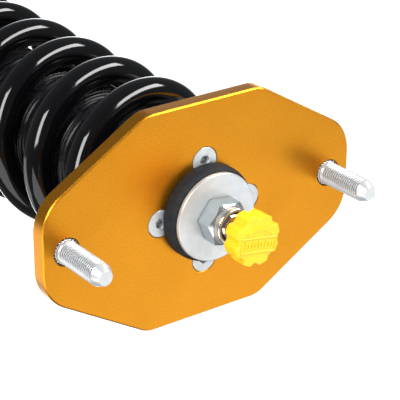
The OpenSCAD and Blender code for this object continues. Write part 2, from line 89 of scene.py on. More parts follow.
def clean(obj, sharp=30, weld=0.0005):
    """Merges doubled points, drops empty faces, points the faces outward and shades the mesh."""
    bm = bmesh.new()
    bm.from_mesh(obj.data)
    bmesh.ops.remove_doubles(bm, verts=bm.verts, dist=weld * MM)
    bmesh.ops.dissolve_degenerate(bm, edges=bm.edges, dist=weld * MM)
    bmesh.ops.recalc_face_normals(bm, faces=bm.faces)
    bm.to_mesh(obj.data)
    bm.free()
    shade(obj, sharp)


def shade(obj, sharp=30):
    """Shades smooth, except across edges sharper than sharp degrees."""
    obj.data.shade_smooth()
    obj.data.set_sharp_from_angle(angle=math.radians(sharp))


def flatten_faces(obj):
    """Turns the shading normals toward the larger faces, so that flat faces look flat up to their fillets."""
    step = obj.modifiers.new("weighted", "WEIGHTED_NORMAL")
    step.keep_sharp, step.weight, step.mode = True, 90, "FACE_AREA"
    bake_modifiers(obj)


def bake_modifiers(obj):
    """Replaces the mesh by what its modifiers make of it."""
    graph = bpy.context.evaluated_depsgraph_get()
    made = bpy.data.meshes.new_from_object(obj.evaluated_get(graph))
    obj.modifiers.clear()
    old, obj.data = obj.data, made
    bpy.data.meshes.remove(old)


def discard(obj):
    mesh = obj.data
    bpy.data.objects.remove(obj)
    bpy.data.meshes.remove(mesh)


def combine(obj, tool, operation="DIFFERENCE", sharp=30):
    """Cuts tool out of obj, joins it on or keeps what both share. The tool is used up."""
    step = obj.modifiers.new("combine", "BOOLEAN")
    step.object, step.operation, step.solver = tool, operation, "EXACT"
    bake_modifiers(obj)
    discard(tool)
    clean(obj, sharp)
    return obj


def join(objects):
    """One object from several, which must not touch."""
    first = objects[0]
    bm = bmesh.new()
    for obj in objects:
        obj.data.transform(obj.matrix_world)
        bm.from_mesh(obj.data)
    bm.to_mesh(first.data)
    bm.free()
    first.matrix_world = Matrix.Identity(4)
    for obj in objects[1:]:
        discard(obj)
    return first


def move(obj, x=0.0, y=0.0, z=0.0, turn=0.0, axis="Z"):
    """Turns a mesh by degrees about an axis through the origin, then shifts it in mm."""
    obj.data.transform(Matrix.Rotation(math.radians(turn), 4, axis))
    obj.data.transform(Matrix.Translation((x * MM, y * MM, z * MM)))
    return obj


def fillet(points, radii, steps=4, closed=True):
    """Rounds the corners of an (r, z) outline, each by its own radius."""
    count = len(points)
    out = []
    for i in range(count):
        here = Vector(points[i])
        if not closed and i in (0, count - 1) or radii[i] <= 0:
            out.append(tuple(here))
            continue
        before, after = Vector(points[i - 1]) - here, Vector(points[(i + 1) % count]) - here
        if before.length < 1e-6 or after.length < 1e-6:
            continue
        a, b = before.normalized(), after.normalized()
        half = a.angle(b) / 2
        if half > math.radians(87):
            out.append(tuple(here))
            continue
        reach = min(radii[i] / math.tan(half), 0.48 * before.length, 0.48 * after.length)
        start, stop = here + a * reach, here + b * reach
        for k in range(steps + 1):
            t = k / steps
            out.append(tuple((1 - t) ** 2 * start + 2 * t * (1 - t) * here + t * t * stop))
    return out


def lathe(name, profile, segments=128, shape=None, sharp=30):
    """Turns an (r, z) outline in mm round Z. An outline that starts on the axis ends there too, unjoined.
    shape bends the rows: it gets r, z and angle arrays."""
    profile = np.asarray(profile, float)
    closed = profile[0, 0] > 0
    angle = np.linspace(0, TAU, segments, endpoint=False)
    rows, columns = len(profile), len(angle)
    r = np.repeat(profile[:, :1], columns, 1)
    z = np.repeat(profile[:, 1:], columns, 1)
    a = np.repeat(angle[None, :], rows, 0)
    if shape is not None:
        r, z = shape(r, z, a)
    points = np.stack([r * np.cos(a), r * np.sin(a), z], -1).reshape(-1, 3)
    faces = []
    for i in range(rows if closed else rows - 1):
        k = (i + 1) % rows
        if profile[i, 0] < 1e-6 and profile[k, 0] < 1e-6:
            continue
        for j in range(columns):
            m = (j + 1) % columns
            quad = [i * columns + j, i * columns + m, k * columns + m, k * columns + j]
            if profile[i, 0] < 1e-6:
                quad = [i * columns, quad[2], quad[3]]
            elif profile[k, 0] < 1e-6:
                quad = [quad[0], quad[1], k * columns]
            faces.append(quad)
    used = sorted({v for f in faces for v in f})
    index = {v: n for n, v in enumerate(used)}
    return mesh_object(name, points[used], [[index[v] for v in f] for f in faces], sharp)


def ring_profile(outer, inner, low, high, edge=0.3, bore_edge=None):
    """Rectangle section of a ring with rounded edges."""
    bore_edge = edge if bore_edge is None else bore_edge
    return fillet([(inner, low), (outer, low), (outer, high), (inner, high)],
                  [bore_edge, edge, edge, bore_edge])


def thread(low, high, pitch, depth, crest_r, fade=1.0):
    """A right-handed thread between two heights, cut into rows that lie at the crest radius."""
    def shape(r, z, a):
        phase = np.mod(z / pitch - a / TAU, 1.0)
        slope = 1 - np.abs(2 * phase - 1)
        cut = np.clip((slope - 0.14) / 0.66, 0, 1)
        for into in (z - low, high - z):
            cut = cut * np.clip(into / (fade * pitch), 0, 1)
        return np.where(np.abs(r - crest_r) < 0.02, r - depth * cut, r), z
    return shape


def dense(r, low, high, step):
    """Points up a straight wall, close enough together to carry a thread."""
    count = max(2, int(round(abs(high - low) / step)))
    return [(r, z) for z in np.linspace(low, high, count + 1)]


def mirrored(half):
    """A whole outline from its upper half, listed from the bore outward."""
    return [(r, -z) for r, z in half] + half[::-1]


def tube_faces(rows, sides, closed=False):
    """The quads of a tube made of rows of points. closed joins its last row to its first."""
    return [[i * sides + k, i * sides + (k + 1) % sides,
             (i + 1) % rows * sides + (k + 1) % sides, (i + 1) % rows * sides + k]
            for i in range(rows if closed else rows - 1) for k in range(sides)]


def prism(name, outline, levels, sharp=30):
    """A solid from a closed convex outline in mm. levels lists (z, inset) from one end to the other."""
    outline = np.asarray(outline, float)
    along = np.roll(outline, -1, 0) - outline
    along /= np.linalg.norm(along, axis=1)[:, None]
    normal = np.stack([along[:, 1], -along[:, 0]], 1)
    mitre = normal + np.roll(normal, 1, 0)
    mitre /= (mitre * normal).sum(1)[:, None]
    x, y = outline.T
    if np.sum(x * np.roll(y, -1) - y * np.roll(x, -1)) < 0:
        mitre = -mitre
    count = len(outline)
    points = []
    for z, inset in levels:
        flat = outline - mitre * inset
        points += [(x, y, z) for x, y in flat]
    faces = [list(range(count))[::-1], [(len(levels) - 1) * count + i for i in range(count)]]
    for k in range(len(levels) - 1):
        for i in range(count):
            j = (i + 1) % count
            faces.append([k * count + i, k * count + j, (k + 1) * count + j, (k + 1) * count + i])
    return mesh_object(name, points, faces, sharp)


def arc(cx, cy, r, start, stop, steps=24):
    """Points along an arc, between two angles in degrees."""
    return [(cx + r * math.cos(math.radians(start + (stop - start) * i / steps)),
             cy + r * math.sin(math.radians(start + (stop - start) * i / steps)))
            for i in range(steps + 1)]


def polygon(sides, across_flats, turn=0.0):
    """Corners of a regular polygon, by its size across the flats."""
    r = across_flats / 2 / math.cos(math.pi / sides)
    return [(r * math.cos(math.radians(turn) + TAU * i / sides),
             r * math.sin(math.radians(turn) + TAU * i / sides)) for i in range(sides)]


# ---- material helpers

class Graph:
    """A Principled material under construction."""

    def __init__(self, name):
        self.material = bpy.data.materials.new(name)
        self.material.use_nodes = True
        self.tree = self.material.node_tree
        self.tree.nodes.clear()
        self.shader = self.node("ShaderNodeBsdfPrincipled")
        out = self.node("ShaderNodeOutputMaterial")
        self.tree.links.new(self.shader.outputs[0], out.inputs[0])
        self.place = self.node("ShaderNodeTexCoord").outputs["Object"]

    def node(self, kind, **settings):
        made = self.tree.nodes.new(kind)
        for key, value in settings.items():
            setattr(made, key, value)
        return made

    def put(self, socket, value):
        if isinstance(value, bpy.types.NodeSocket):
            self.tree.links.new(value, socket)
        else:
            socket.default_value = value

    def fixed(self, node, **values):
        for key, value in values.items():
            node.inputs[key.replace("_", " ")].default_value = value

    def set(self, **values):
        for key, value in values.items():
            socket = self.shader.inputs[key.replace("_", " ")]
            if socket.type == "RGBA" and isinstance(value, tuple):
                value = (*value, 1.0)
            self.put(socket, value)

    def math(self, operation, a, b=0.0, clamp=False):
        made = self.node("ShaderNodeMath", operation=operation, use_clamp=clamp)
        self.put(made.inputs[0], a)
        self.put(made.inputs[1], b)
        return made.outputs[0]

    def noise(self, size, detail=2.0, rough=0.5, place=None, distortion=0.0):
        """Noise whose blobs are about size mm across."""
        made = self.node("ShaderNodeTexNoise")
        self.put(made.inputs["Vector"], place or self.place)
        self.fixed(made, Scale=1.0 / (size * MM), Detail=detail, Roughness=rough, Distortion=distortion)
        return made.outputs["Fac"]

    def cells(self, size):
        made = self.node("ShaderNodeTexVoronoi", feature="F1")
        self.put(made.inputs["Vector"], self.place)
        self.fixed(made, Scale=1.0 / (size * MM))
        return made.outputs["Distance"]

    def spread(self, value, low, high, start=0.3, stop=0.7):
        """Takes value from start..stop to low..high."""
        made = self.node("ShaderNodeMapRange")
        self.put(made.inputs["Value"], value)
        self.fixed(made, From_Min=start, From_Max=stop, To_Min=low, To_Max=high)
        return made.outputs["Result"]

    def mix(self, factor, a, b, blend="MIX"):
        made = self.node("ShaderNodeMix", data_type="RGBA", blend_type=blend)
        self.put(made.inputs[0], factor)
        for socket, value in ((made.inputs[6], a), (made.inputs[7], b)):
            self.put(socket, (*value, 1.0) if isinstance(value, tuple) and len(value) == 3 else value)
        return made.outputs[2]

    def radius(self, a, b):
        squares = [self.math("MULTIPLY", side, side) for side in (a, b)]
        return self.math("SQRT", self.math("ADD", *squares))

    def rings(self, centre=(0, 0, 0), axis="Z", stretch=1.0):
        """A place that runs with the radius round an axis, for turned marks."""
        shift = self.node("ShaderNodeVectorMath", operation="SUBTRACT")
        self.put(shift.inputs[0], self.place)
        shift.inputs[1].default_value = centre
        parts = self.node("ShaderNodeSeparateXYZ")
        self.tree.links.new(shift.outputs[0], parts.inputs[0])
        across = [k for k in "XYZ" if k != axis]
        out = self.node("ShaderNodeCombineXYZ")
        self.put(out.inputs[0], self.radius(*(parts.outputs[k] for k in across)))
        self.put(out.inputs[1], self.math("MULTIPLY", parts.outputs[axis], stretch))
        return out.outputs[0]

    def bump(self, *layers):
        """Bumps from (height, depth in mm) pairs, the first one lowest."""
        normal = None
        for height, depth in layers:
            made = self.node("ShaderNodeBump")
            self.fixed(made, Strength=1.0, Distance=depth * MM)
            self.put(made.inputs["Height"], height)
            if normal is not None:
                self.put(made.inputs["Normal"], normal)
            normal = made.outputs["Normal"]
        self.put(self.shader.inputs["Normal"], normal)

    def edges(self, radius, sharpness=1.0):
        """1 on edges and corners, 0 on flat places."""
        rounded = self.node("ShaderNodeBevel", samples=4)
        self.fixed(rounded, Radius=radius * MM)
        flat = self.node("ShaderNodeNewGeometry")
        dot = self.node("ShaderNodeVectorMath", operation="DOT_PRODUCT")
        self.put(dot.inputs[0], rounded.outputs["Normal"])
        self.put(dot.inputs[1], flat.outputs["Normal"])
        return self.spread(self.math("SUBTRACT", 1.0, dot.outputs["Value"]), 0.0, sharpness, 0.02, 0.25)


def painted_recess_shade(g, reach):
    """1 in deep corners and sockets, 0 out in the open, from ambient occlusion: the mask for painted shade in
    recesses.
    """
    open_sky = g.node("ShaderNodeAmbientOcclusion", samples=6)
    g.fixed(open_sky, Distance=reach * MM)
    return g.spread(open_sky.outputs["AO"], 1.0, 0.0, 0.22, 0.62)


def painted_root_shade(g, centre_x, root, crest, top):
    """1 in the roots of two upright threads at plus and minus centre_x, 0 on their crests and above top: the
    mask for painted shade in the thread grooves.
    """
    parts = g.node("ShaderNodeSeparateXYZ")
    g.put(parts.inputs[0], g.place)
    x = g.math("SUBTRACT", g.math("ABSOLUTE", parts.outputs["X"]), centre_x * MM)
    r = g.radius(x, parts.outputs["Y"])
    below = g.math("LESS_THAN", parts.outputs["Z"], top * MM)
    return g.math("MULTIPLY", below, g.spread(r, 1.0, 0.0, root * MM, crest * MM), clamp=True)


def scaled(colour, factor):
    """A lighter or darker colour."""
    return tuple(min(1.0, c * factor) for c in colour)


def anodised(name, colour, worn, grain=0.55):
    """Bead-blasted and anodised aluminium, lighter on its edges."""
    g = Graph(name)
    fine = g.noise(grain, 3.0, 0.7)
    speck = g.noise(grain * 0.55, 1.0, 0.5)
    cloud = g.noise(26, 3.0, 0.55)
    base = g.mix(g.spread(fine, 0.0, 1.0, 0.36, 0.64), scaled(colour, 0.83), scaled(colour, 1.14))
    base = g.mix(g.spread(cloud, 0.0, 0.10), base, scaled(colour, 0.82))
    base = g.mix(g.math("MULTIPLY", g.edges(0.35), 0.35), base, worn)
    uneven = g.math("ADD", fine, g.math("MULTIPLY", cloud, 0.4))
    g.set(Base_Color=base, Metallic=1.0, Roughness=g.spread(uneven, 0.31, 0.42, 0.5, 0.9))
    g.bump((fine, 0.026), (speck, 0.014))
    return g.material


def zinc(name="ZincPlate", colour=(0.64, 0.68, 0.71), rough=(0.32, 0.44), axis="Z", centre=(0, 0, 0),
         metal=0.6, roots=None):
    """Bright zinc plate over turned steel, with a faint film of colour. Painted shade darkens its recesses
    and, where roots is given, its thread roots.
    """
    g = Graph(name)
    turned = g.noise(0.16, 2.0, 0.6, g.rings(centre, axis, 1.0))
    cloud = g.noise(3.2, 3.0, 0.6)
    film = g.noise(7.0, 2.0, 0.5, distortion=0.6)
    tint = g.mix(g.spread(film, 0.0, 1.0, 0.35, 0.65), colour, (0.66, 0.66, 0.63))
    tint = g.mix(g.spread(film, 0.0, 0.25, 0.55, 0.75), tint, (0.50, 0.60, 0.74))
    base = g.mix(g.spread(cloud, 0.0, 0.35), tint, scaled(colour, 0.80))
    base = g.mix(g.math("MULTIPLY", g.edges(0.25), 0.5), base, (0.86, 0.85, 0.82))
    # painted shade: the plating goes almost black in sockets, corners and recesses, by ambient occlusion
    base = g.mix(painted_recess_shade(g, 2.5), base, (0.02, 0.02, 0.024))
    if roots is not None:
        # painted shade: the thread roots go darker, so that the grooves read as shaded
        base = g.mix(g.math("MULTIPLY", painted_root_shade(g, *roots), 0.6), base, (0.14, 0.145, 0.15))
    g.set(Base_Color=base, Metallic=metal, Roughness=g.spread(cloud, *rough))
    g.bump((turned, 0.004), (g.noise(0.5, 2.0), 0.004))
    return g.material


def rubber(name, colour, grain=0.5, rough=0.62, relief=0.05):
    """Moulded rubber: matte, mottled, with a dusty bloom on its edges."""
    g = Graph(name)
    mottle = g.noise(3.0, 5.0, 0.7, distortion=0.8)
    pores = g.noise(grain, 2.0, 0.6)
    base = g.mix(g.spread(mottle, 0.0, 1.0), scaled(colour, 0.45), scaled(colour, 2.6))
    base = g.mix(g.math("MULTIPLY", g.edges(0.5), 0.35), base, scaled(colour, 2.4))
    g.set(Base_Color=base, Specular_IOR_Level=0.25, Roughness=g.spread(mottle, rough - 0.08, rough + 0.10))
    g.bump((mottle, relief), (pores, relief * 0.6))
    return g.material


def powder_coat(name, colour, rough, peel=0.012, peel_size=1.6):
    """Baked paint: slight orange peel and a few dust nibs under a clear gloss."""
    g = Graph(name)
    waves = g.noise(peel_size, 2.0, 0.45)
    dust = g.spread(g.cells(3.0), 1.0, 0.0, 0.0, 0.10)
    haze = g.noise(14, 3.0, 0.6)
    g.set(Base_Color=g.mix(g.spread(haze, 0.0, 1.0), colour, scaled(colour, 1.5)),
          Roughness=g.spread(haze, rough, rough + 0.06))
    g.bump((waves, peel), (dust, 0.004))
    return g.material


def turned_metal(name, colour, rough=(0.18, 0.30), axis="Z", centre=(0, 0, 0), depth=0.006, pitch=0.12):
    """Bare metal from the lathe, with fine rings and darker patches."""
    g = Graph(name)
    marks = g.noise(pitch, 2.0, 0.65, g.rings(centre, axis))
    cloud = g.noise(6.0, 3.0, 0.6)
    uneven = g.math("ADD", marks, g.math("MULTIPLY", cloud, 0.5))
    g.set(Base_Color=g.mix(g.spread(cloud, 0.0, 0.5), colour, scaled(colour, 0.7)), Metallic=1.0,
          Roughness=g.spread(uneven, *rough, 0.5, 1.0))
    g.bump((marks, depth))
    return g.material


def plastic(name, colour, rough=0.42, grain=0.35, depth=0.012, through=0.0, spread=2.0):
    """Moulded plastic with a fine eroded grain and slight flow marks."""
    g = Graph(name)
    flow = g.noise(9.0, 2.0, 0.5, distortion=1.2)
    fine = g.noise(grain, 2.0, 0.6)
    base = g.mix(g.spread(flow, 0.0, 0.5), colour, scaled(colour, 0.9))
    base = g.mix(g.math("MULTIPLY", g.edges(0.3), 0.3), base, tuple(min(1.0, c * 1.2 + 0.02) for c in colour))
    g.set(Base_Color=base, Subsurface_Weight=through, Subsurface_Scale=spread * MM,
          Subsurface_Radius=(1.0, 0.6, 0.2), Roughness=g.spread(fine, rough - 0.05, rough + 0.06))
    g.bump((flow, 0.02), (fine, depth))
    return g.material


def foam(name, colour):
    """Closed-cell foam: open skin cells and a yellowed surface."""
    g = Graph(name)
    cells = g.cells(0.7)
    stain = g.noise(9.0, 3.0, 0.6)
    g.set(Base_Color=g.mix(g.spread(stain, 0.0, 1.0), colour, scaled(colour, 0.72)), Roughness=0.85,
          Specular_IOR_Level=0.2)
    g.bump((cells, 0.12), (g.noise(0.25, 2.0), 0.03))
    return g.material


# ---- camera

camera = link_new("Camera", bpy.data.cameras.new("Camera"))
camera.data.lens = 145.4
camera.data.sensor_width = 36.0
camera.data.clip_start, camera.data.clip_end = 0.05, 20.0
CAMERA_RIGHT = Vector((0.8062, 0.0053, 0.5916)).normalized()
CAMERA_BACK = Vector((-0.5396, 0.4165, 0.7317)).normalized()
CAMERA_UP = CAMERA_BACK.cross(CAMERA_RIGHT).normalized()
CAMERA_PLACE = Vector((-0.366, 0.286, 0.493))
turned = Matrix((CAMERA_RIGHT, CAMERA_UP, CAMERA_BACK)).transposed().to_4x4()
camera.matrix_world = Matrix.Translation(CAMERA_PLACE) @ turned
bpy.context.scene.camera = camera


# ---- sizes that several pieces share, in mm

MOUNT_BORE = 6.05
STUD_R, STUD_HEAD_R, STUD_CONE_L = 5.0, 8.5, 3.4
STUD_X, STUD_TOP = half_width("mount_studs") - STUD_HEAD_R, ends("mount_studs")[1]
EYE_Z = sum(ends("eye_sleeve")) / 2


# ---- materials

ORANGE = anodised("OrangeAnodised", (0.80, 0.325, 0.020), (1.0, 0.60, 0.12))
BLACK_ANODISED = anodised("BlackAnodised", (0.030, 0.030, 0.033), (0.16, 0.16, 0.17))
ZINC = zinc()
BRIGHT_ZINC = zinc("BrightZinc", (0.50, 0.58, 0.63), (0.17, 0.27), metal=0.9)
# roots places painted shade in the roots of the stud threads
STUD_ZINC = zinc("StudZinc", (0.66, 0.70, 0.73), (0.30, 0.42),
                 roots=(STUD_X, STUD_R - 0.55, STUD_R - 0.1, STUD_TOP - STUD_CONE_L - 0.4))
ZINC_X = zinc("ZincPlateLower", axis="X", centre=(0, 0, EYE_Z * MM))
RUBBER = rubber("MouldedRubber", (0.0078, 0.0095, 0.0118), rough=0.66)
BOOT_RUBBER = rubber("BootRubber", (0.004, 0.004, 0.005), 0.4, 0.26, 0.006)
SEAL = rubber("SealRubber", (0.02, 0.02, 0.021), 0.2, 0.45)
SPRING_PAINT = powder_coat("GlossBlackCoat", (0.0016, 0.0017, 0.0020), 0.06)
BRACKET_PAINT = powder_coat("SatinBlackCoat", (0.012, 0.012, 0.013), 0.30, 0.03, 0.8)
CHROME = turned_metal("HardChrome", (0.80, 0.81, 0.83), (0.05, 0.11), depth=0.002, pitch=0.06)
BRIGHT = turned_metal("BrightSteel", (0.60, 0.60, 0.61))
ALUMINIUM = turned_metal("TurnedAluminium", (0.72, 0.73, 0.74), (0.24, 0.38))
BRASS = turned_metal("TurnedBrass", (0.76, 0.56, 0.22), (0.2, 0.34))
SHIM_STEEL = turned_metal("BluedStrip", (0.26, 0.30, 0.42), (0.16, 0.26), depth=0.002)
BAND = plastic("BearingBand", (0.22, 0.13, 0.065), 0.5, 0.2, 0.006)
BLACK_NYLON = plastic("BlackNylon", (0.02, 0.02, 0.021), 0.45)
WHITE_NYLON = plastic("WhiteNylon", (0.72, 0.70, 0.63), 0.45, through=0.15)
YELLOW = plastic("YellowPlastic", (0.98, 0.57, 0.011), 0.38, 0.3, 0.010, through=0.12, spread=1.0)
FOAM = foam("BumpFoam", (0.66, 0.55, 0.30))


def piece(obj, body, node, material, flat=True):
    """Finishes a piece: its material, what it rides on and the CAD node that it stands for."""
    if flat:
        flatten_faces(obj)
    obj.data.materials.clear()
    obj.data.materials.append(material)
    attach(obj, body)
    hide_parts(node)
    return obj


# ---- top plate

PLATE_LOW, PLATE_HIGH = ends("top_plate")
PLATE_X, PLATE_Y = half_width("top_plate", 0), half_width("top_plate", 1)
PLATE_CORNER_X, PLATE_CORNER_Y = 29.2, 19.1
PLATE_SIDE_R, PLATE_END_R = 12.0, 19.4
PLATE_BORE = 13.5
STUD_HOLE = 6.05
SCREW_CIRCLE_R, SCREW_R, SCREW_SINK_R = 22.5, 3.0, 6.40
SCREW_PLACES = [(SCREW_CIRCLE_R * math.cos(a), SCREW_CIRCLE_R * math.sin(a))
                for a in (0, TAU / 4, TAU / 2, TAU * 3 / 4)]


def plate_outline():
    """The long octagon: rounded corners joined by straight, slanting sides."""
    nx, ny = PLATE_Y - PLATE_CORNER_Y, PLATE_X - PLATE_CORNER_X
    size = math.hypot(nx, ny)
    nx, ny = nx / size, ny / size
    slope = math.degrees(math.atan2(ny, nx))
    reach = nx * PLATE_CORNER_X + ny * PLATE_Y
    side_y = PLATE_Y - PLATE_SIDE_R
    side_x = (reach - PLATE_SIDE_R - ny * side_y) / nx
    end_x = PLATE_X - PLATE_END_R
    end_y = (reach - PLATE_END_R - nx * end_x) / ny
    quarter = arc(side_x, side_y, PLATE_SIDE_R, 90, slope) + arc(end_x, end_y, PLATE_END_R, slope, 0)
    back = quarter[::-1]
    return (quarter + [(x, -y) for x, y in back] + [(-x, -y) for x, y in quarter]
            + [(-x, y) for x, y in back])


def hole_tool(r, low, high, top_chamfer=0.0, low_chamfer=0.0, segments=96):
    """A cutter for a round hole with chamfered mouths, through z = low to high."""
    outline = [(0, low - 1), (r + low_chamfer + 1, low - 1), (r, low + low_chamfer),
               (r, high - top_chamfer), (r + top_chamfer + 1, high + 1), (0, high + 1)]
    return lathe("cutter", outline, segments)


def build_plate():
    low, high = PLATE_LOW, PLATE_HIGH
    levels = [(low, 0.75), (low + 0.16, 0.42), (low + 0.55, 0.10), (low + 0.8, 0), (high - 0.75, 0),
              (high - 0.62, 0.05), (high - 0.17, 0.50), (high - 0.05, 0.62), (high, 0.75)]
    plate = prism("TopPlate", plate_outline(), levels, sharp=26)
    combine(plate, hole_tool(PLATE_BORE, low, high, 0.4, 0.4), sharp=26)
    for side in (-1, 1):
        combine(plate, move(hole_tool(STUD_HOLE, low, high, 0.25, 0.25), side * STUD_X), sharp=26)
    sink = [(0, low - 1), (SCREW_R + 0.3, low - 1), (SCREW_R + 0.3, -3.0), (6.25, -0.12),
            (SCREW_SINK_R, 0.001), (SCREW_SINK_R, 1), (0, 1)]
    for x, y in SCREW_PLACES:
        combine(plate, move(lathe("cutter", sink, 72), x, y), sharp=26)
    piece(plate, "top_mount", "top_plate", ORANGE)


build_plate()


# ---- studs and screws

def build_studs():
    low, high = ends("mount_studs")
    spline_r, splines, spline_depth = 5.95, 24, 0.62
    pitch, depth, cone = 1.25, 0.66, high - STUD_CONE_L
    profile = ([(0, low), (STUD_HEAD_R, low), (STUD_HEAD_R, PLATE_LOW - 0.02), (5.9, PLATE_LOW - 0.01)]
               + dense(spline_r, PLATE_LOW + 0.1, -1.0, 1.0)
               + [(spline_r, -0.55), (5.7, -0.3), (STUD_R, -0.2), (STUD_R, 0.7)]
               + dense(STUD_R, 0.8, high - 3.9, 0.125)
               + [(4.78, cone), (4.6, high - 3.1), (3.3, high - 0.22), (3.1, high), (0, high)])

    def shape(r, z, a):
        splined = (z < -0.25) & (z > PLATE_LOW) & (r > 5.3)
        teeth = np.where(splined, spline_depth * np.clip(0.75 + 0.9 * np.cos(splines * a), 0, 1), 0.0)
        return thread(0.7, cone, pitch, depth, STUD_R, 0.8)(r - teeth, z, a)

    studs = [move(lathe("stud", profile, 112, shape=shape, sharp=38), side * STUD_X)
             for side in (-1, 1)]
    obj = join(studs)
    obj.name = "MountStuds"
    shade(obj, 38)
    piece(obj, "top_mount", "mount_studs", STUD_ZINC, flat=False)


def build_seat_screws():
    low = ends("seat_screws")[0]
    key_across, key_turn, key_turn_step = 4.0, 17, 41
    profile = ([(0, low), (2.5, low), (SCREW_R, low + 0.5)] + dense(SCREW_R, low + 0.6, -4.2, 0.2)
               + [(SCREW_R, -3.05), (5.9, -0.28), (5.98, -0.16), (5.86, -0.05), (5.6, -0.02), (0, -0.02)])
    screws = []
    for number, (x, y) in enumerate(SCREW_PLACES):
        screw = lathe("screw", profile, 72, shape=thread(low + 0.5, -4.0, 1.0, 0.5, SCREW_R),
                      sharp=38)
        socket = prism("cutter", polygon(6, key_across, key_turn + key_turn_step * number),
                       [(-3.4, 1.9), (-2.9, 0), (-0.32, 0), (0.3, -0.62)], sharp=20)
        combine(screw, socket, sharp=38)
        screws.append(move(screw, x, y))
    obj = join(screws)
    obj.name = "SpigotScrews"
    shade(obj, 38)
    piece(obj, "top_mount", "seat_screws", ZINC)


build_studs()
build_seat_screws()


# ---- rubber mount, washer and nut

WASHER_R = 19.5
BUSH_BORE, BUSH_NECK_R, BUSH_TOP_R, BUSH_BULGE = 9.05, 13.4, 19.0, 2.3
NUT_LOW, NUT_HIGH = ends("top_nut")
NUT_ACROSS, COLLAR_R, INSERT_R = 18.0, 8.4, 7.35
NUT_HEX_HIGH = NUT_HIGH - 3.5
NUT_TURN = -8.0


def build_upper_bush():
    low, high = ends("upper_bush")
    r, foot = half_width("upper_bush"), 0.3
    crown = [(r - BUSH_BULGE + BUSH_BULGE * (1 - t ** 4) ** 0.5, foot + (high - foot) * t)
             for t in np.linspace(0, 0.998, 36)]
    profile = ([(BUSH_BORE, low), (BUSH_NECK_R, low), (BUSH_NECK_R, -0.02), (r - 0.4, 0.02)] + crown
               + [(BUSH_TOP_R, high), (BUSH_BORE, high)])
    bush = lathe("UpperBush", profile, 192, sharp=50)
    piece(bush, "top_mount", "upper_bush", RUBBER)


def build_washers():
    for name, node in (("UpperWasher", "upper_washer"), ("LowerWasher", "lower_washer")):
        low, high = ends(node)
        profile = fillet([(MOUNT_BORE, low), (WASHER_R, low), (WASHER_R, high), (MOUNT_BORE, high)],
                         [0.2, 0.55, 0.75, 0.3], 6)
        piece(lathe(name, profile, 160, sharp=50), "top_mount", node, ZINC)


def build_nut():
    low, high, hexagon = NUT_LOW, NUT_HIGH, NUT_HEX_HIGH
    nut = prism("TopNut", polygon(6, NUT_ACROSS, NUT_TURN), [(low, 0), (hexagon, 0)], sharp=25)
    corner = NUT_ACROSS / 2 / math.cos(math.pi / 6)
    turned = [(0, low - 1), (corner - 0.6, low - 1), (corner - 0.5, low), (corner + 0.2, low + 0.5),
              (corner + 0.2, hexagon - 1.75), (8.5, hexagon + 0.001), (8.3, hexagon + 1), (0, hexagon + 1)]
    combine(nut, lathe("cutter", turned, 144), "INTERSECT", sharp=25)
    collar = fillet([(0, hexagon - 1), (COLLAR_R, hexagon - 1), (COLLAR_R, high), (0, high)],
                    [0, 0, 1.4, 0], 8, closed=False)
    combine(nut, lathe("collar", collar, 144), "UNION", sharp=25)
    bore = [(0, low - 1), (6.9, low - 0.3), (6.1, low + 0.5), (MOUNT_BORE, low + 0.6),
            (MOUNT_BORE, hexagon + 0.1), (INSERT_R, hexagon + 0.1), (INSERT_R, high - 0.7), (6.8, high - 0.7),
            (6.8, high - 0.35), (7.05, high - 0.05), (7.3, high + 1), (0, high + 1)]
    combine(nut, lathe("cutter", bore, 144), sharp=32)
    piece(nut, "top_mount", "top_nut", BRIGHT_ZINC)
    low, high = ends("nut_insert")
    insert = lathe("NutInsert", ring_profile(INSERT_R - 0.05, MOUNT_BORE, low, high, 0.15), 96)
    piece(insert, "top_mount", "nut_insert", BLACK_NYLON)


build_upper_bush()
build_washers()
build_nut()


# ---- adjuster knob

KNOB_LOW, KNOB_HIGH = ends("adjuster_knob")
KNOB_R = half_width("adjuster_knob")
KNOB_FLUTES, KNOB_FLUTE_TURN = 8, -6.5
KNOB_FLUTE_HALF, KNOB_FLUTE_DEPTH = 2.35, 1.55
PIN_R = half_width("adjuster_pin")
MARK_TURN, MARK_PLACE = math.radians(-9.4), (0.45, -1.75)
FRAME_HALF_L, FRAME_HALF_H, FRAME_LINE = 8.9, 3.05, 0.55
TICKS, TICK_STEP, TICK_LINE, TALL_TICK, SHORT_TICK = 9, 1.7, 0.5, 1.75, 1.1
BAND_R, BAND_HALF, BAND_DROP, BAND_START, BAND_STOP = 10.6, 0.75, 3.6, 52, 128


def knob_flutes(r, z, a):
    """Rounded finger flutes down the knob's side, which fade out toward its middle."""
    step = TAU / KNOB_FLUTES
    off = np.mod(a - math.radians(KNOB_FLUTE_TURN) + step / 2, step) - step / 2
    across = np.abs(off) * KNOB_R / KNOB_FLUTE_HALF
    cut = KNOB_FLUTE_DEPTH * np.clip(1 - across ** 2.4, 0, 1)
    near = np.clip((r - 0.55 * KNOB_R) / (0.45 * KNOB_R), 0, 1)
    return r - cut * near * (r > 2.5), z


def bar(x0, y0, x1, y1, width, low, high):
    """A low rib between two points."""
    along = Vector((x1 - x0, y1 - y0)).normalized()
    side = Vector((-along.y, along.x)) * width / 2
    a, b = Vector((x0, y0)), Vector((x1, y1))
    outline = [tuple(a - side), tuple(b - side), tuple(b + side), tuple(a + side)]
    return prism("rib", outline, [(low, 0), (high - 0.12, 0), (high, 0.12)])


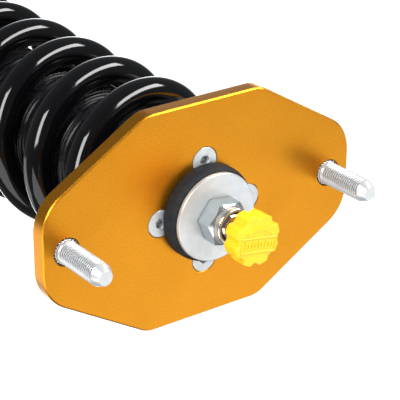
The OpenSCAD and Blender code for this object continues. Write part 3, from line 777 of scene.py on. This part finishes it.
def knob_body(low, high, face):
    """The knob without its marks."""
    outer = fillet([(PIN_R + 0.3, low), (KNOB_R - 0.25, low), (KNOB_R, low + 2), (KNOB_R, face), (7.4, face)],
                   [0, 0.5, 0, 0.75, 0], 6, closed=False)
    wall = [p for p in outer if p[1] < face - 1]
    top = [p for p in outer if p[1] >= face - 1]
    inner = [(0, high - 3), (PIN_R + 0.05, high - 3), (PIN_R + 0.05, low + 0.3)]
    profile = (inner + wall + [(KNOB_R, z) for z in np.linspace(low + 2.6, face - 1.2, 6)] + top
               + [(6.4, face), (4.6, face), (2.4, face), (0, face)])
    return lathe("AdjusterKnob", profile, 288, shape=knob_flutes, sharp=42)


def build_knob():
    """The knob, with a frame of plain ticks and a plain arc raised on its face."""
    low, high = KNOB_LOW, KNOB_HIGH
    face = high - 0.45
    knob = knob_body(low, high, face)
    u = Vector((math.cos(MARK_TURN), math.sin(MARK_TURN)))
    v = Vector((-math.sin(MARK_TURN), math.cos(MARK_TURN)))
    middle = Vector(MARK_PLACE)
    length, height, inset = FRAME_HALF_L, FRAME_HALF_H, 0.27
    lines = [(-length, height, length, height, FRAME_LINE), (-length, -height, length, -height, FRAME_LINE)]
    for x in (-length + inset, length - inset):
        lines.append((x, -height + 0.2, x, height - 0.2, FRAME_LINE))
    for k in range(TICKS):
        x, tall = TICK_STEP * k - 4 * TICK_STEP, SHORT_TICK if k % 2 else TALL_TICK
        lines.append((x, -tall, x, tall, TICK_LINE))
    ribs = []
    for x0, y0, x1, y1, width in lines:
        p, q = middle + u * x0 + v * y0, middle + u * x1 + v * y1
        ribs.append(bar(p.x, p.y, q.x, q.y, width, face - 0.3, high))
    for rib in ribs:
        combine(knob, rib, "UNION", sharp=42)
    centre = middle + v * -BAND_DROP
    sweep = np.linspace(BAND_START, BAND_STOP, 17)
    rim = ([(BAND_R + BAND_HALF, s) for s in sweep]
           + [(BAND_R - BAND_HALF, s) for s in np.linspace(BAND_STOP, BAND_START, 17)])
    band = [(centre.x + r * math.cos(math.radians(s) + MARK_TURN),
             centre.y + r * math.sin(math.radians(s) + MARK_TURN)) for r, s in rim]
    combine(knob, prism_any("band", band, face - 0.3, high - 0.02), "UNION", sharp=42)
    piece(knob, "knob", "adjuster_knob", YELLOW)


def prism_any(name, outline, low, high):
    """A straight solid from a curved strip's outline: up one side and back down the other."""
    count = len(outline)
    points = [(x, y, low) for x, y in outline] + [(x, y, high) for x, y in outline]
    half = count // 2
    faces = []
    for i in range(half - 1):
        a, b, c, d = i, i + 1, count - 2 - i, count - 1 - i
        faces += [[d, c, b, a], [a + count, b + count, c + count, d + count]]
    for i in range(count):
        j = (i + 1) % count
        faces.append([i, j, j + count, i + count])
    return mesh_object(name, points, faces)


build_knob()


# ---- upper spring seat and slip rings

def build_seat():
    low, high = ends("upper_spring_seat")
    r = half_width("upper_spring_seat")
    pocket_r, pocket_top = 21.0, ends("lower_bush")[0] + 7.0
    profile = fillet([(PLATE_BORE, pocket_top), (pocket_r, pocket_top), (pocket_r, low), (r - 1.2, low),
                      (r, low + 1.2), (r, high), (PLATE_BORE, high)], [0.2, 0.3, 0.3, 0.5, 0.5, 0.1, 0.2])
    seat = lathe("UpperSpringSpigot", profile, 144)
    piece(seat, "top_mount", "upper_spring_seat", BLACK_ANODISED)


def build_slip_rings():
    bore = 30.7
    for name, node, body in (("UpperSlipRing", "upper_slip_ring", "upper_slip"),
                             ("LowerSlipRing", "lower_slip_ring", "spring_pack")):
        low, high = ends(node)
        ring = lathe(name, ring_profile(half_width(node), bore, low, high, 0.4), 160)
        piece(ring, body, node, BLACK_NYLON)


build_seat()
build_slip_rings()


# ---- coil spring

SPRING_LOW, SPRING_HIGH = ends("coil_spring")
WIRE_R = 6.5
COIL_R = half_width("coil_spring") - WIRE_R
CLOSED_TURNS, FREE_TURNS = 0.75, 6.2
SPRING_TURNS = FREE_TURNS + 2 * CLOSED_TURNS
CLOSED_RISE = WIRE_R - 0.4


def build_spring():
    """A right-handed coil with closed, ground ends. Its pitch eases from the closed to the free turns."""
    length = SPRING_HIGH - SPRING_LOW
    rings, sides = 1080, 44
    t = np.linspace(0, SPRING_TURNS, rings + 1)
    slow, fast = CLOSED_RISE / CLOSED_TURNS, (length - 2 * CLOSED_RISE) / FREE_TURNS
    blend = 0.16
    into = np.clip((np.minimum(t, SPRING_TURNS - t) - CLOSED_TURNS + blend) / (2 * blend), 0, 1)
    slope = slow + (fast - slow) * (into * into * (3 - 2 * into))
    depth = np.concatenate([[0], np.cumsum((slope[1:] + slope[:-1]) / 2 * np.diff(t))])
    depth *= length / depth[-1]
    angle = -TAU * t
    centre = np.stack([COIL_R * np.cos(angle), COIL_R * np.sin(angle), SPRING_HIGH - depth], -1)
    outward = np.stack([np.cos(angle), np.sin(angle), np.zeros_like(angle)], -1)
    along = np.stack([COIL_R * TAU * np.sin(angle), -COIL_R * TAU * np.cos(angle), -slope], -1)
    along /= np.linalg.norm(along, axis=1)[:, None]
    across = np.cross(along, outward)
    a = (np.arange(sides) + 0.5) * TAU / sides
    points = (centre[:, None] + WIRE_R * (outward[:, None] * np.cos(a)[None, :, None]
                                          + across[:, None] * np.sin(a)[None, :, None])).reshape(-1, 3)
    points[:, 2] = np.clip(points[:, 2], SPRING_LOW, SPRING_HIGH)
    faces = tube_faces(rings + 1, sides)
    faces += [list(range(sides))[::-1], [rings * sides + k for k in range(sides)]]
    spring = mesh_object("CoilSpring", points, faces, sharp=24)
    piece(spring, "spring_pack", "coil_spring", SPRING_PAINT, flat=False)
    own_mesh(spring)


build_spring()


# ---- bump stop and dust boot

def build_bump_stop():
    low, high = ends("bump_stop")
    r = half_width("bump_stop")
    bore = 7.3
    points = [(bore, high), (r - 1.0, high)]
    for z in np.linspace(high - 1, low + 2, 60):
        share = (high - z) / (high - low)
        dip = 1.9 * (0.5 - 0.5 * math.cos(TAU * share * 4)) if share < 0.95 else 0
        taper = 3.0 * max(0.0, (share - 0.66) / 0.34)
        points.append((r - dip - taper, z))
    points += [(r - 4.2, low + 0.3), (r - 5.5, low), (bore, low)]
    stop = lathe("BumpStop", points, 96, sharp=60)
    piece(stop, "top_mount", "bump_stop", FOAM, flat=False)
    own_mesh(stop)


def build_boot():
    low, high = ends("dust_boot")
    crest, root, wall, folds = half_width("dust_boot"), 23.0, 1.2, 10
    neck_bore, top_t = 7.3, 2.0
    fold_high = high - 4.0
    fold = (fold_high - low - 2) / folds

    def wall_line(points_a_fold, rib):
        """The pleats from top to bottom, with small moulded ribs on their flanks."""
        line = []
        for z in np.linspace(fold_high, fold_high - folds * fold, folds * points_a_fold + 1):
            turn = TAU * (fold_high - z) / fold
            pleat = (crest - 0.3 - root) * (0.5 - 0.5 * math.cos(turn)) ** 0.82
            line.append((root + pleat + rib * math.sin(8 * turn), z))
        return line

    outside = [(root, high - 0.3)] + wall_line(40, 0.22) + [(root, low + 0.4), (root - 0.3, low)]
    inside = [(r - wall, z) for r, z in wall_line(12, 0)[::-1]]
    profile = ([(neck_bore, high), (root - 0.4, high)] + outside + [(root - wall, low)] + inside
               + [(root - wall, high - top_t), (neck_bore, high - top_t)])
    boot = lathe("DustBoot", profile, 120, sharp=60)
    piece(boot, "top_mount", "dust_boot", BOOT_RUBBER, flat=False)
    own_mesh(boot)


build_bump_stop()
build_boot()


# ---- damper body

BODY_LOW, BODY_HIGH = ends("body_tube")
BODY_R, BODY_BORE = half_width("body_tube"), 22.0


def build_body():
    thread_low, thread_high, pitch, depth = BODY_LOW + 1.2, BODY_HIGH - 6, 2.0, 0.75
    profile = ([(BODY_BORE, BODY_LOW), (BODY_R - 1.0, BODY_LOW), (BODY_R, BODY_LOW + 1.0)]
               + dense(BODY_R, thread_low, thread_high, 0.29)
               + [(BODY_R - depth, BODY_HIGH - 5.2), (BODY_R - depth, BODY_HIGH - 1.0),
                  (BODY_R - 1.3, BODY_HIGH), (BODY_BORE + 0.4, BODY_HIGH), (BODY_BORE, BODY_HIGH - 0.4)])
    body = lathe("BodyTube", profile, 128, shape=thread(thread_low, thread_high, pitch, depth, BODY_R, 0.8),
                 sharp=38)
    piece(body, "damper_body", "body_tube", BLACK_ANODISED, flat=False)


def build_gland():
    low, high = ends("gland_nut")
    r, inner_r, bore, wiper_r, wiper_l = half_width("gland_nut"), 21.9, 8.0, 12.05, 5
    profile = fillet([(bore, low), (inner_r, low), (inner_r, BODY_HIGH), (r, BODY_HIGH), (r, high),
                      (wiper_r, high), (wiper_r, high - wiper_l), (bore, high - wiper_l)],
                     [0.2, 0.5, 0.1, 0.3, 0.8, 0.4, 0.1, 0.2])
    gland = lathe("GlandNut", profile, 128)
    holes, hole_circle_r, hole_r = 4, 19, 2.0
    for k in range(holes):
        a = TAU * k / holes
        drill = hole_tool(hole_r, high - 3, high, 0.3, 0, 32)
        combine(gland, move(drill, hole_circle_r * math.cos(a), hole_circle_r * math.sin(a)))
    piece(gland, "damper_body", "gland_nut", BLACK_ANODISED)


build_body()
build_gland()


# ---- perch, lock rings and lower bracket

HUB_R = half_width("perch_lock_ring")
THREAD_BORE = BODY_R + 0.05


def notch(r, low, high, width=8.0, depth=4.0):
    """A cutter for one spanner notch, with rounded inner corners."""
    corner, inner, outer = 1.2, r - depth, r + 3
    outline = ([(outer, -width / 2), (outer, width / 2)]
               + arc(inner + corner, width / 2 - corner, corner, 90, 180, 6)
               + arc(inner + corner, -width / 2 + corner, corner, 180, 270, 6))
    return prism("notch", outline, [(low - 1, 0), (high + 1, 0)])


def notched(obj, r, low, high, count=8):
    """Cuts a ring of spanner notches."""
    tools = [move(notch(r, low, high), turn=360 / count * k) for k in range(count)]
    return combine(obj, join(tools), sharp=32)


def build_perch():
    low, high = ends("spring_perch")
    flange = ends("lower_slip_ring")[0] - 0.1
    r, spigot = half_width("spring_perch"), 30.4
    under = flange - 6
    outline = [(THREAD_BORE, low), (HUB_R, low), (HUB_R, under), (r, under), (r, flange), (spigot, flange),
               (spigot, high), (THREAD_BORE, high)]
    hub = lathe("SpringPerch", fillet(outline, [0.8, 1.2, 0.8, 1.0, 1.0, 0.5, 1.2, 0.6], 5), 160)
    notched(hub, HUB_R, low - 2, under - 1.0)
    piece(hub, "perch", "spring_perch", ORANGE)


def build_lock_rings():
    for name, node, body in (("PerchLockRing", "perch_lock_ring", "perch_lock"),
                             ("BracketLockRing", "bracket_lock_ring", "bracket_lock")):
        low, high = ends(node)
        ring = lathe(name, ring_profile(HUB_R, THREAD_BORE, low, high, 1.1, 0.8), 160)
        notched(ring, HUB_R, low, high)
        piece(ring, body, node, ORANGE)


EYE_W = half_width("bracket_eye", 0)
EYE_R = 23.0
EYE_BUSH_R = half_width("eye_bush", 1)
SLEEVE_R = half_width("eye_sleeve", 1)
SLEEVE_BORE = 6.1
SLEEVE_L = half_width("eye_sleeve", 0)


def cross_lathe(name, profile, segments, **options):
    """A lathe piece whose axis is the lower bolt's."""
    return move(lathe(name, profile, segments, **options), z=EYE_Z, turn=90, axis="Y")


def build_bracket():
    low, high = ends("lower_bracket")
    r = half_width("lower_bracket")
    socket = low + 6.0
    outline = [(0, low), (r, low), (r, high), (THREAD_BORE, high), (THREAD_BORE, socket), (0, socket)]
    cup = lathe("LowerBracket", fillet(outline, [0, 2.5, 1.2, 0.8, 0.6, 0], 6, closed=False), 160)
    drain_r, drain_rise = 4.0, 8.0
    for side in (-1, 1):
        drill = lathe("cutter", [(0, 20), (drain_r, 20), (drain_r, r - 0.6), (5.6, r + 1), (0, r + 1)], 48)
        move(drill, turn=-90 * side, axis="X")
        combine(cup, move(drill, z=socket + drain_rise))
    piece(cup, "lower_mount", "lower_bracket", BRACKET_PAINT)
    build_bracket_eye(low)


def build_bracket_eye(top):
    """The eye and its neck, welded under the socket."""
    neck, seat_r = 16.1, EYE_BUSH_R + 0.05
    eye = prism("BracketEye", [(-EYE_W, -neck), (EYE_W, -neck), (EYE_W, neck), (-EYE_W, neck)],
                [(EYE_Z, 0), (top - 0.02, 0)])
    barrel = fillet(mirrored([(EYE_BUSH_R - 2, EYE_W), (EYE_R, EYE_W)]), [0, 1.2, 1.2, 0], 5)
    combine(eye, cross_lathe("barrel", barrel, 160), "UNION")
    bore = mirrored([(0.001, EYE_W + 2), (EYE_BUSH_R + 2.05, EYE_W + 2), (seat_r, EYE_W - 0.5)])
    combine(eye, cross_lathe("cutter", bore, 160))
    combine(eye, weld_bead(EYE_W, neck, top), "UNION", sharp=45)
    piece(eye, "lower_mount", "bracket_eye", BRACKET_PAINT)


def weld_bead(half_x, half_y, top):
    """A rippled weld round the neck, under the socket."""
    r, corner, sides = 2.6, 3.0, 12
    path = []
    for quarter, (x, y) in enumerate(((1, 1), (-1, 1), (-1, -1), (1, -1))):
        path += arc(x * (half_x - corner), y * (half_y - corner), corner, 90 * quarter, 90 * quarter + 90, 8)
    fine = []
    for i, p in enumerate(path):
        q = path[(i + 1) % len(path)]
        steps = max(1, int(math.dist(p, q) / 0.45))
        fine += [(p[0] + (q[0] - p[0]) * k / steps, p[1] + (q[1] - p[1]) * k / steps) for k in range(steps)]
    fine = np.array(fine)
    ahead = np.roll(fine, -1, 0) - np.roll(fine, 1, 0)
    ahead /= np.linalg.norm(ahead, axis=1)[:, None]
    out = np.stack([ahead[:, 1], -ahead[:, 0]], 1)
    points = []
    for i, (place, away) in enumerate(zip(fine, out)):
        swell = 1 + 0.07 * math.sin(TAU * i / 5)
        for k in range(sides):
            a = TAU * k / sides
            side, rise = r * swell * math.cos(a), -r * swell * math.sin(a)
            points.append((*(place + away * side), min(top - 0.02, top + rise)))
    return mesh_object("bead", points, tube_faces(len(fine), sides, closed=True), 45)


def build_eye():
    dish, teeth, tooth_depth = 2.2, 36, 0.35
    half = [(SLEEVE_R + 0.05, EYE_W), (SLEEVE_R + 2.2, EYE_W), (SLEEVE_R + 3.4, EYE_W - dish),
            (EYE_BUSH_R - 2.6, EYE_W - dish), (EYE_BUSH_R - 1.2, EYE_W), (EYE_BUSH_R, EYE_W)]
    rounding = [0, .6, 1.2, 1.2, .6, 0]
    bush = cross_lathe("EyeBush", fillet(mirrored(half), rounding + rounding[::-1], 5), 144, sharp=45)
    piece(bush, "lower_mount", "eye_bush", RUBBER)

    def serrate(r, z, a):
        face = (np.abs(z) > SLEEVE_L - 0.01) & (r > SLEEVE_BORE + 0.5) & (r < SLEEVE_R - 0.3)
        cut = SLEEVE_L - tooth_depth * (0.5 + 0.5 * np.cos(teeth * a))
        return r, np.where(face, np.sign(z) * cut, z)

    half = ([(SLEEVE_BORE, SLEEVE_L - 0.5), (SLEEVE_BORE + 0.5, SLEEVE_L)]
            + [(r, SLEEVE_L) for r in np.linspace(SLEEVE_BORE + 0.7, SLEEVE_R - 0.5, 4)]
            + [(SLEEVE_R - 0.3, SLEEVE_L), (SLEEVE_R, SLEEVE_L - 0.4)])
    sleeve = cross_lathe("EyeSleeve", mirrored(half), 216, shape=serrate, sharp=34)
    piece(sleeve, "eye_core", "eye_sleeve", ZINC_X)


build_perch()
build_lock_rings()
build_bracket()
build_eye()


# ---- CAD nodes that stay

STAYING = {
    "bush_sleeve": BRIGHT, "lower_bush": RUBBER, "piston_rod": CHROME, "adjuster_pin": BRIGHT,
    "metering_needle": BRASS, "rod_wiper": SEAL, "rod_seal": SEAL, "rod_guide": ALUMINIUM, "guide_seal": SEAL,
    "top_out_bumper": WHITE_NYLON, "compression_shims": SHIM_STEEL, "damper_piston": ALUMINIUM,
    "piston_band": BAND, "rebound_shims": SHIM_STEEL, "piston_nut": ZINC, "floating_piston": ALUMINIUM,
    "floating_piston_seal": SEAL, "end_cap": BLACK_ANODISED, "gas_valve": BRASS,
}
for node, material in STAYING.items():
    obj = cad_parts[node]
    if not obj.material_slots:
        obj.data.materials.append(material)
    for place in obj.material_slots:
        place.material = material


# ---- floor and light

LOWEST_TRAVEL, FLOOR_GAP, FLOOR_HALF = 0.030, 0.0005, 6.0
SKY_COLOUR = (0.96, 0.98, 1.0, 1.0)
FRONT, ROOM, BEHIND = 0.12, 0.19, 3.6
BACKDROP = tuple(-CAMERA_BACK)


def build_floor():
    """A pale floor that glows faintly, as low as the eye gets when the bracket is wound right down."""
    z = min(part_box(node)[0].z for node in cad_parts) - LOWEST_TRAVEL - FLOOR_GAP
    size = FLOOR_HALF
    mesh = bpy.data.meshes.new("Floor")
    corners = [(-size, -size, z), (size, -size, z), (size, size, z), (-size, size, z)]
    mesh.from_pydata(corners, [], [(0, 1, 2, 3)])
    floor = link_new("Floor", mesh)
    g = Graph("PaleFloor")
    g.set(Base_Color=g.mix(g.noise(300, 2.0), (0.40, 0.40, 0.40), (0.43, 0.43, 0.43)), Roughness=0.9,
          Emission_Color=(1.0, 1.0, 1.0), Emission_Strength=0.78)
    mesh.materials.append(g.material)
    floor.visible_glossy = False


def softbox(name, toward, distance, width, height, radiance, long_way=CAMERA_BACK):
    """A rectangular light in the direction (right, up, back) of the picture, by how bright its face is.
    Its height runs along long_way."""
    target = Vector((0, 0, -0.05))
    direction = (CAMERA_RIGHT * toward[0] + CAMERA_UP * toward[1] + CAMERA_BACK * toward[2]).normalized()
    light = bpy.data.lights.new(name, "AREA")
    light.shape, light.size, light.size_y = "RECTANGLE", width, height
    light.energy = radiance * math.pi * width * height
    obj = link_new(name, light)
    obj.location = target + direction * distance
    obj.rotation_mode = "QUATERNION"
    along = (long_way - direction * long_way.dot(direction)).normalized()
    across = along.cross(direction).normalized()
    obj.rotation_quaternion = Matrix((across, along, direction)).transposed().to_quaternion()


def fill(name, place, size, strength):
    """A square light aimed at the mount. It falls on matt surfaces only, so that it shows in no gloss."""
    light = bpy.data.lights.new(name, "AREA")
    light.shape, light.size, light.energy = "SQUARE", size, strength
    obj = link_new(name, light)
    obj.location = place
    obj.rotation_euler = Vector(place).to_track_quat("Z", "Y").to_euler()
    obj.visible_glossy = False


def studio():
    """A dim room, pale where the camera sees it, darker in front of the object and brighter behind it."""
    world = bpy.data.worlds.new("Studio")
    bpy.context.scene.world = world
    world.use_nodes = True
    tree = world.node_tree
    tree.nodes.clear()
    node, link = tree.nodes.new, tree.links.new
    out, sky, seen = node("ShaderNodeOutputWorld"), node("ShaderNodeBackground"), node("ShaderNodeLightPath")
    place, toward = node("ShaderNodeTexCoord"), node("ShaderNodeVectorMath")
    toward.operation = "DOT_PRODUCT"
    toward.inputs[1].default_value = BACKDROP
    spans = []
    for limits in ((-1.0, -0.15, FRONT, ROOM), (0.74, 0.98, 0.0, BEHIND)):
        span = node("ShaderNodeMapRange")
        span.interpolation_type = "SMOOTHSTEP"
        for key, number in zip(("From Min", "From Max", "To Min", "To Max"), limits):
            span.inputs[key].default_value = number
        link(toward.outputs["Value"], span.inputs["Value"])
        spans.append(span)
    total = node("ShaderNodeMath")
    pick = node("ShaderNodeMix")
    pick.data_type = "FLOAT"
    pick.inputs[3].default_value = 1.0
    link(place.outputs["Generated"], toward.inputs[0])
    link(spans[0].outputs[0], total.inputs[0])
    link(spans[1].outputs[0], total.inputs[1])
    link(seen.outputs["Is Camera Ray"], pick.inputs[0])
    link(total.outputs[0], pick.inputs[2])
    link(pick.outputs[0], sky.inputs[1])
    link(sky.outputs[0], out.inputs[0])
    sky.inputs[0].default_value = SKY_COLOUR


build_floor()
studio()
softbox("ArcBox", (0.74, 0.59, 0.30), 1.3, 0.42, 1.10, 14.0)
softbox("LeftBox", (-0.42, 0.20, 0.88), 1.2, 0.42, 0.72, 13.0, long_way=CAMERA_UP)
softbox("PlateBox", (0.74, -0.67, 0.03), 0.65, 0.62, 0.50, 1.15)
softbox("EndBox", (-0.87, -0.27, -0.42), 1.3, 0.7, 0.7, 1.6)
softbox("TableBox", (-0.27, -0.80, 0.55), 0.9, 1.0, 0.6, 2.2)
fill("Overhead", (0.1, 0.1, 1.5), 1.2, 11.5)
fill("LeftFill", tuple((CAMERA_UP * 0.62 + CAMERA_BACK * 0.5 - CAMERA_RIGHT * 0.62) * 1.3), 0.9, 6.0)
bpy.context.scene.view_settings.view_transform = "Standard"
